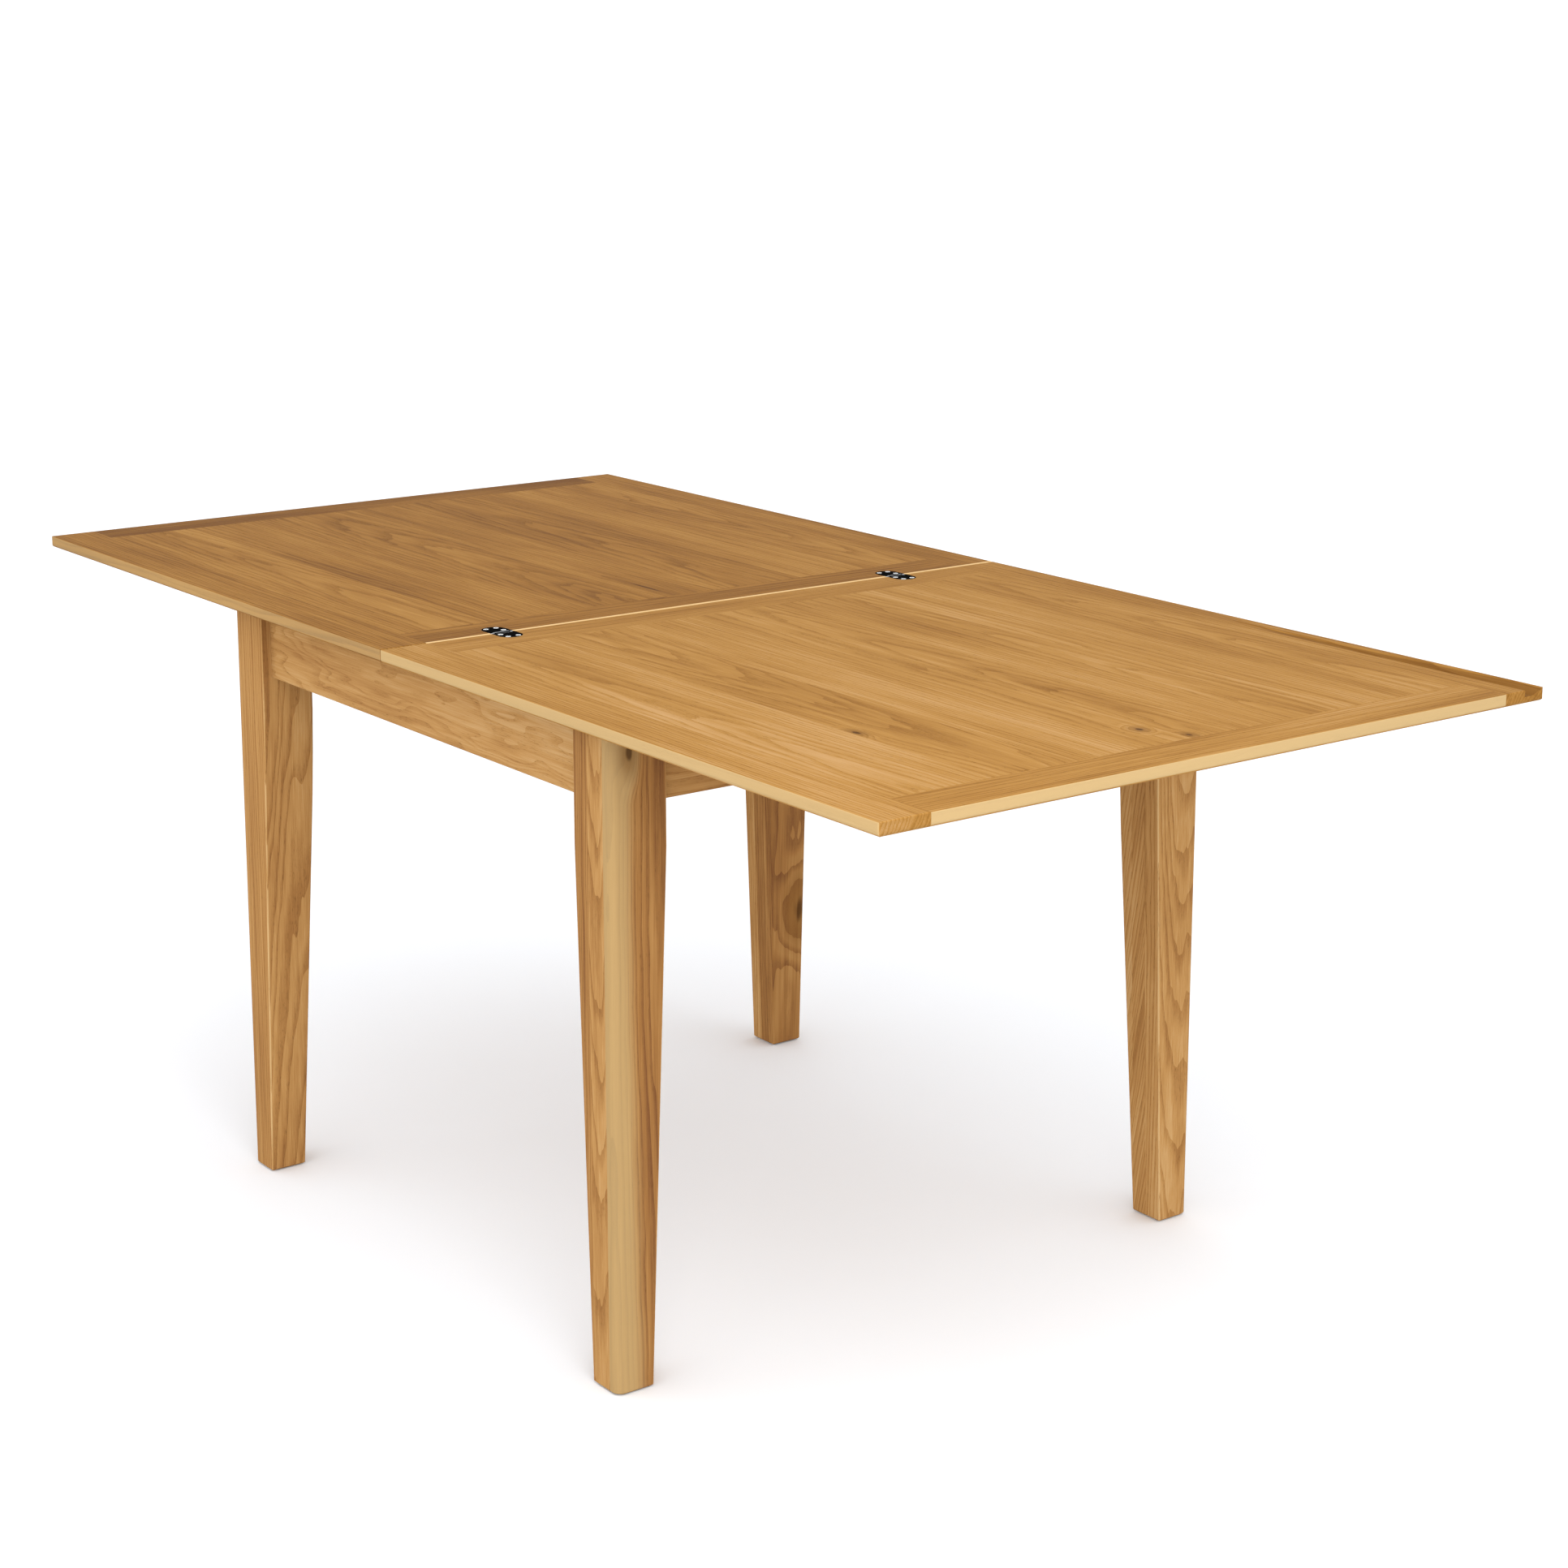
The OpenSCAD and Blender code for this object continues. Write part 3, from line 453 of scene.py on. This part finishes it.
make_leg("back_right_leg", (0.024, 0.046), [
    {"face": "x", "pith": (22, 48), "lean": (0.0, 0.06), "seed": 7, "tone_and_shade": -0.02},
    {"face": "-y", "pith": (160, 20), "lean": (0.22, 0.02), "seed": 8, "tone_and_shade": 0.0},
    {"face": "-y", "pith": (180, 20), "lean": (0.22, 0.02), "seed": 1, "tone_and_shade": -0.04}])
make_leg("back_left_leg", (0.020, 0.045), [
    {"face": "x", "pith": (90, 60), "lean": (0.0, 0.02), "seed": 9, "tone_and_shade": 0.0},
    {"face": "x", "pith": (60, 60), "lean": (0.0, 0.01), "seed": 12, "tone_and_shade": 0.20},
    {"face": "x", "pith": (20, 70), "lean": (0.0, 0.03), "seed": 10, "tone_and_shade": 0.24,
     "knot": (-200, 7, 24, 12)}])

# %% [markdown]
# ## The planked panels
# The middle of each leaf is a panel of planks glued edge to edge, all with their grain along
# the table. The planks are of different widths, as they come from the saw, and each has its
# own tone; the fixed leaf's are darkened further with painted shade. They could be separate
# boxes, but glued planks have no gap to see, so the panel is one closed box whose faces are
# cut into strips where planks meet.

# %% Planked panels
def make_panel(node, body, widths_mm, planks):
    """A box whose section is cut where planks meet, carried along the table. Plank k lies
    between the running sums k and k + 1 of the widths, scaled to the panel's own width."""
    low, high = (np.array(corner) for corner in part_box(node))
    cuts = low[1] + (high[1] - low[1]) * np.concatenate(
        ([0], np.cumsum(widths_mm) / np.sum(widths_mm)))
    count = len(cuts)
    across = np.concatenate((cuts, cuts[::-1]))
    up = np.repeat((low[2], high[2]), count)
    points = np.vstack([np.column_stack((np.full(2 * count, x), across, up))
                        for x in (low[0], high[0])])
    around = np.arange(2 * count)
    after = (around + 1) % (2 * count)
    sides = np.column_stack((around, after, after + 2 * count, around + 2 * count))[:, ::-1]
    strip = np.arange(count - 1)
    ends = np.column_stack((strip, strip + 1, 2 * count - 2 - strip, 2 * count - 1 - strip))
    faces = sides.tolist() + ends.tolist() + (ends + 2 * count)[:, ::-1].tolist()
    owner = np.concatenate((strip, [count - 2], strip[::-1], [0], strip, strip))
    piece = make_piece(node + "_planks", points, faces)
    boards = [board("x", "z", (0.0, (cuts[k] + cuts[k + 1]) / 2, high[2]), **plank)
              for k, plank in enumerate(planks)]
    give_grain(piece, boards, owner)
    stand_in(piece, node, body, PLANK_OAK)
    print(node, "of", count - 1, "planks")


PLANK_OAK = oak("oiled_oak_planks", figure=0.55)
# The fixed leaf's planks are toned darker than the flip leaf's: painted shade, for the lesser
# light on that leaf
make_panel("fixed_panel", "fixed_leaf", [118, 96, 141, 92, 128, 104, 101], [
    {"pith": (15, 60), "lean": (0.0, 0.02), "seed": 11, "tone_and_shade": 0.13},
    {"pith": (-80, 70), "lean": (0.01, 0.01), "seed": 12, "tone_and_shade": 0.22},
    {"pith": (25, 90), "lean": (0.0, 0.03), "seed": 13, "tone_and_shade": 0.25},
    {"pith": (60, 50), "lean": (0.0, -0.02), "seed": 14, "tone_and_shade": 0.26,
     "knot": (-120, -18, 40, 2)},
    {"pith": (-10, 75), "lean": (0.01, 0.02), "seed": 15, "tone_and_shade": 0.26},
    {"pith": (95, 60), "lean": (0.0, 0.01), "seed": 16, "tone_and_shade": 0.17},
    {"pith": (5, 65), "lean": (0.0, -0.03), "seed": 17, "tone_and_shade": 0.20}])
# The flip leaf's nearest plank is toned palest: painted light on its near side
make_panel("flip_panel", "flip_leaf", [124, 98, 160, 66, 122, 110, 100], [
    {"pith": (-20, 65), "lean": (0.0, 0.02), "seed": 21, "tone_and_shade": -0.08},
    {"pith": (10, 80), "lean": (0.0, -0.03), "seed": 22, "tone_and_shade": 0.03,
     "knot": (624, -44, 8, 4)},
    {"pith": (70, 60), "lean": (0.01, 0.01), "seed": 23, "tone_and_shade": -0.04,
     "knot": (782, 71, 6, 4)},
    {"pith": (-5, 70), "lean": (0.0, 0.03), "seed": 24, "tone_and_shade": 0.02,
     "knot": (828, -25, 6, 4)},
    {"pith": (30, 55), "lean": (0.0, 0.02), "seed": 25, "tone_and_shade": 0.05},
    {"pith": (-60, 75), "lean": (0.0, -0.01), "seed": 26, "tone_and_shade": -0.03},
    {"pith": (12, 60), "lean": (0.0, 0.03), "seed": 27, "tone_and_shade": 0.04}])

# %% [markdown]
# ## Bands, aprons and the hidden frame
# The bands round each leaf, the aprons under them and the rail, cleats and braces out of
# sight are already right in shape, with every rounded edge, groove and pocket. They could
# be made new like the legs, but it would add nothing, so they only get the finish. Each is
# one board, so its material places its own coordinates in its own tree.

# %% One finish for each board of the model
# The fixed leaf's bands are toned darker than the flip leaf's as painted shade, its end band
# darkest; the flip leaf's front band is toned palest as painted light
BOARDS = {
    "fixed_front_band": ("x", "z", (-0.45, -0.42, 0.75), (90, 60), 31, 0.24, 0.0),
    "fixed_back_band": ("x", "z", (-0.45, 0.42, 0.75), (-70, 60), 32, 0.24, 0.0),
    "fixed_end_band": ("y", "z", (-0.87, 0.0, 0.75), (60, 60), 33, 0.44, 0.0),
    "fixed_joint_band": ("y", "z", (-0.03, 0.0, 0.75), (40, 60), 34, 0.34, 0.0),
    "flip_front_band": ("x", "z", (0.45, -0.42, 0.75), (100, 60), 35, -0.05, 0.0),
    "flip_back_band": ("x", "z", (0.45, 0.42, 0.75), (60, 60), 36, 0.10, 0.0),
    "flip_end_band": ("y", "z", (0.87, 0.0, 0.75), (80, 60), 37, 0.0, 0.0),
    "flip_joint_band": ("y", "z", (0.03, 0.0, 0.75), (70, 60), 38, 0.08, 0.0),
    "front_apron": ("x", "-y", (0.0, -0.407, 0.69), (10, 90), 41, -0.08, 0.9),
    "back_apron": ("x", "y", (0.0, 0.407, 0.69), (30, 80), 42, 0.0, 0.3),
    "left_apron": ("y", "-x", (-0.407, 0.0, 0.69), (-20, 70), 43, 0.0, 0.2),
    "right_apron": ("y", "x", (0.407, 0.0, 0.69), (20, 85), 44, 0.06, 0.3),
    "cross_rail": ("y", "-z", (-0.225, 0.0, 0.70), (20, 70), 45, 0.10, 0.0),
    "front_cleat": ("x", "-z", (-0.225, -0.38, 0.68), (50, 40), 46, 0.08, 0.0),
    "back_cleat": ("x", "-z", (-0.225, 0.38, 0.68), (50, 40), 47, 0.08, 0.0),
    "front_left_brace": ("x", "-z", (-0.33, -0.33, 0.66), (40, 50), 51, 0.08, 0.0),
    "front_right_brace": ("x", "-z", (0.33, -0.33, 0.66), (45, 50), 52, 0.10, 0.0),
    "back_left_brace": ("x", "-z", (-0.33, 0.33, 0.66), (50, 50), 53, 0.09, 0.0),
    "back_right_brace": ("x", "-z", (0.33, 0.33, 0.66), (55, 50), 54, 0.07, 0.0),
}
BOARD_FIGURE, APRON_FIGURE = 0.7, 0.45
# Outer edge faces are painted paler, less on the fixed leaf as painted shade, the top is painted
# paler along the joint, and the groove's floor is darkened as painted shade
EDGE = (0.0010, 0.0004)
# A strip of the top a few mm either side of the joint is painted paler
JOINT = ("x", 0.0, 0.0034, 0.0026, 1.0, PALE_STRIP, "z")
FADES = {
    # The outer edge faces are painted paler, by 0.45 on the fixed leaf and more on the flip leaf;
    # the fixed leaf's smaller share is painted shade
    "fixed_front_band": [("y", -0.45, *EDGE, 0.45, PALE_EDGE, "-y")],
    "fixed_back_band": [("y", 0.45, *EDGE, 0.45, PALE_EDGE, "y"), JOINT],
    "fixed_end_band": [("x", -0.90, *EDGE, 0.45, PALE_EDGE, "-x")],
    "fixed_joint_band": [JOINT],
    "flip_front_band": [("y", -0.45, *EDGE, 0.85, PALE_EDGE, "-y")],
    # Painted shade: the groove's floor, below the top and facing up, is darkened with DEEP
    "flip_back_band": [("z", 0.7455, 0.0039, 0.0029, 0.6, DEEP, "z"),
                       ("y", 0.45, *EDGE, 0.85, PALE_EDGE, "y"), JOINT],
    "flip_end_band": [("x", 0.90, *EDGE, 0.95, PALE_EDGE, "x")],
    "flip_joint_band": [JOINT],
}
for node, (along, face, at, pith, seed, tone_and_shade, wave) in BOARDS.items():
    place = board(along, face, at, pith=pith, seed=seed, tone_and_shade=tone_and_shade, wave=wave)
    look = {"fades": FADES[node]} if node in FADES else {"shades": LEG_SHADES}
    figure = APRON_FIGURE if "apron" in node else BOARD_FIGURE
    finish = oak("oiled_oak_" + node, place, figure, **look)
    frame["nodes"][node].data.materials.clear()
    frame["nodes"][node].data.materials.append(finish)
print(len(BOARDS), "boards keep the model's shape")

# %% [markdown]
# ## Metal, nylon and felt
# The hinge plates and links are steel with a black baked paint, with bright metal put where
# they turn down at their edges. The screws, pins and bolts, and the pivot's steel pieces,
# have a thin bright coat of zinc. The bush and the glides under the feet are moulded nylon,
# the glides that the leaves slide on are felt, and the dowels are beech. Each could have a
# graph of its own, but all are too small to show much, so one function gives them all a
# mottle of two close colours.

# %% Finishes of the fittings
RIM_START, RIM_FULL = 0.97, 0.85


def fitting_finish(name, dark, light, size_mm, roughness, spread, depth, rim=None,
                   **constants):
    """Two close colours mottled by a noise of size_mm. The roughness is roughness plus
    spread times the noise, and the relief is depth metres deep. rim is the colour of the
    bright metal put where the surface turns away from level: none while the normal's height is
    above RIM_START, and all of it below RIM_FULL."""
    finish, tree = new_finish(name)
    coords = add(tree, "TexCoord", out="Object")
    mottle = add(tree, "TexNoise", {"Vector": coords, "Scale": MM / size_mm,
                                    "Detail": 3.0})
    colour = add(tree, "Mix", {0: mottle, 6: linear(dark), 7: linear(light)}, out=2,
                 data_type="RGBA")
    rough = add(tree, "Math", {0: mottle, 1: spread, 2: roughness},
                operation="MULTIPLY_ADD")
    if rim:
        normal = add(tree, "TexCoord", out="Normal")
        upward = add(tree, "SeparateXYZ", {0: normal}, out="Z")
        level = add(tree, "Math", {0: upward}, operation="ABSOLUTE")
        # Bright metal is put where the surface turns away from level
        pale_edges = add(tree, "MapRange", {0: level, 1: RIM_START, 2: RIM_FULL, 3: 0.0, 4: 1.0})
        colour = add(tree, "Mix", {0: pale_edges, 6: colour, 7: linear(rim)}, out=2,
                     data_type="RGBA")
        constants["Metallic"] = pale_edges
    surface(tree, colour, rough, mottle, depth, **constants)
    return finish


FITTINGS = {
    "black_steel": fitting_finish("black_painted_steel", "#070707", "#121212", 1.2,
                                  0.50, 0.15, 0.00004, rim="#C6C8CA", IOR=1.5,
                                  Specular_IOR_Level=0.0),
    "zinc_steel": fitting_finish("bright_zinc_plated_steel", "#D2D4D6", "#F2F3F3", 2.5,
                                 0.18, 0.14, 0.00002, Metallic=1.0),
    "nylon": fitting_finish("moulded_nylon", "#CFCBC1", "#DEDAD0", 1.5, 0.45, 0.1,
                            0.00004, IOR=1.53),
    "felt": fitting_finish("pressed_felt", "#3E3B37", "#6A655E", 0.8, 0.9, 0.1, 0.0003,
                           Sheen_Weight=0.3),
    "beech": fitting_finish("turned_beech", "#B78E5E", "#CFA878", 3.0, 0.55, 0.1,
                            0.00005, IOR=1.46),
}
slots = {part["node"]: part["material_slot"] for part in frame["record"]["subparts"]}
for node, slot in slots.items():
    if slot in FITTINGS:
        frame["nodes"][node].data.materials.clear()
        frame["nodes"][node].data.materials.append(FITTINGS[slot])
print(sum(slot in FITTINGS for slot in slots.values()), "fittings finished")

# %% [markdown]
# ## The studio
# The table stands on a plain white floor under soft light from all round, which is
# strongest low down from the near side. A large soft lamp beyond the flip leaf's near
# corner adds a little more. Several lamps could do the same, but each would leave a shadow of its
# own. The camera looks down a little over the near corner, and a long lens keeps the legs
# almost upright.

# %% Floor, light and camera
floor_mesh = bpy.data.meshes.new("floor")
FLOOR_HALF = 30.0
floor_mesh.from_pydata([(x * FLOOR_HALF, y * FLOOR_HALF, 0)
                        for x, y in ((-1, -1), (1, -1), (1, 1), (-1, 1))],
                       [], [(0, 1, 2, 3)])
floor = bpy.data.objects.new("floor", floor_mesh)
bpy.context.scene.collection.objects.link(floor)
floor_paint, tree = new_finish("white_studio_floor")
surface(tree, linear("#F0F3F7"), 0.9, Specular_IOR_Level=0.1)
floor.data.materials.append(floor_paint)

# How strong the light is from the near side, from the far side and from overhead
FRONT, BACK, ZENITH = 2.8, 1.42, 1.08
scene = bpy.context.scene
scene.view_settings.view_transform = "Standard"
scene.world = bpy.data.worlds.new("studio")
scene.world.use_nodes = True
sky = scene.world.node_tree
sky.nodes.clear()
toward = add(sky, "TexCoord", out="Generated")
frontal = add(sky, "VectorMath", {0: toward, 1: (0.75, -0.66, 0.0)}, out="Value",
              operation="DOT_PRODUCT")
horizon = add(sky, "MapRange", {0: frontal, 1: -0.5, 2: 0.9, 3: BACK, 4: FRONT},
              interpolation_type="SMOOTHSTEP")
upward = add(sky, "SeparateXYZ", {0: toward}, out="Z")
strength = add(sky, "MapRange", {0: upward, 1: 0.1, 2: 0.9, 3: horizon, 4: ZENITH})
glow = add(sky, "Background", {"Color": linear("#FFFFFF"), "Strength": strength})
add(sky, "OutputWorld", {"Surface": glow})


def soft_lamp(name, watts, size, place, aim):
    """A square area lamp of that size in metres, at a place and turned to aim at a point."""
    lamp = bpy.data.lights.new(name, "AREA")
    lamp.energy, lamp.size = watts, size
    body = bpy.data.objects.new(name, lamp)
    body.location = place
    body.visible_camera = False
    body.rotation_euler = (Vector(aim) - Vector(place)).to_track_quat("-Z", "Y").to_euler()
    scene.collection.objects.link(body)


soft_lamp("top_box", 14.0, 1.0, (1.7, -0.9, 1.9), (0.6, -0.2, 0.75))

camera_data = bpy.data.cameras.new("camera")
camera_data.lens, camera_data.sensor_width = 70.12, 36.0
camera_data.shift_y = -0.09
camera_data.clip_end = 200.0
camera = bpy.data.objects.new("camera", camera_data)
camera.location = (2.952, -2.083, 1.4785)
camera.rotation_euler = Vector((-0.7841, 0.5837, -0.2107)).to_track_quat(
    "-Z", "Y").to_euler()
scene.collection.objects.link(camera)
scene.camera = camera
print("camera", round(camera_data.lens, 1), "mm")
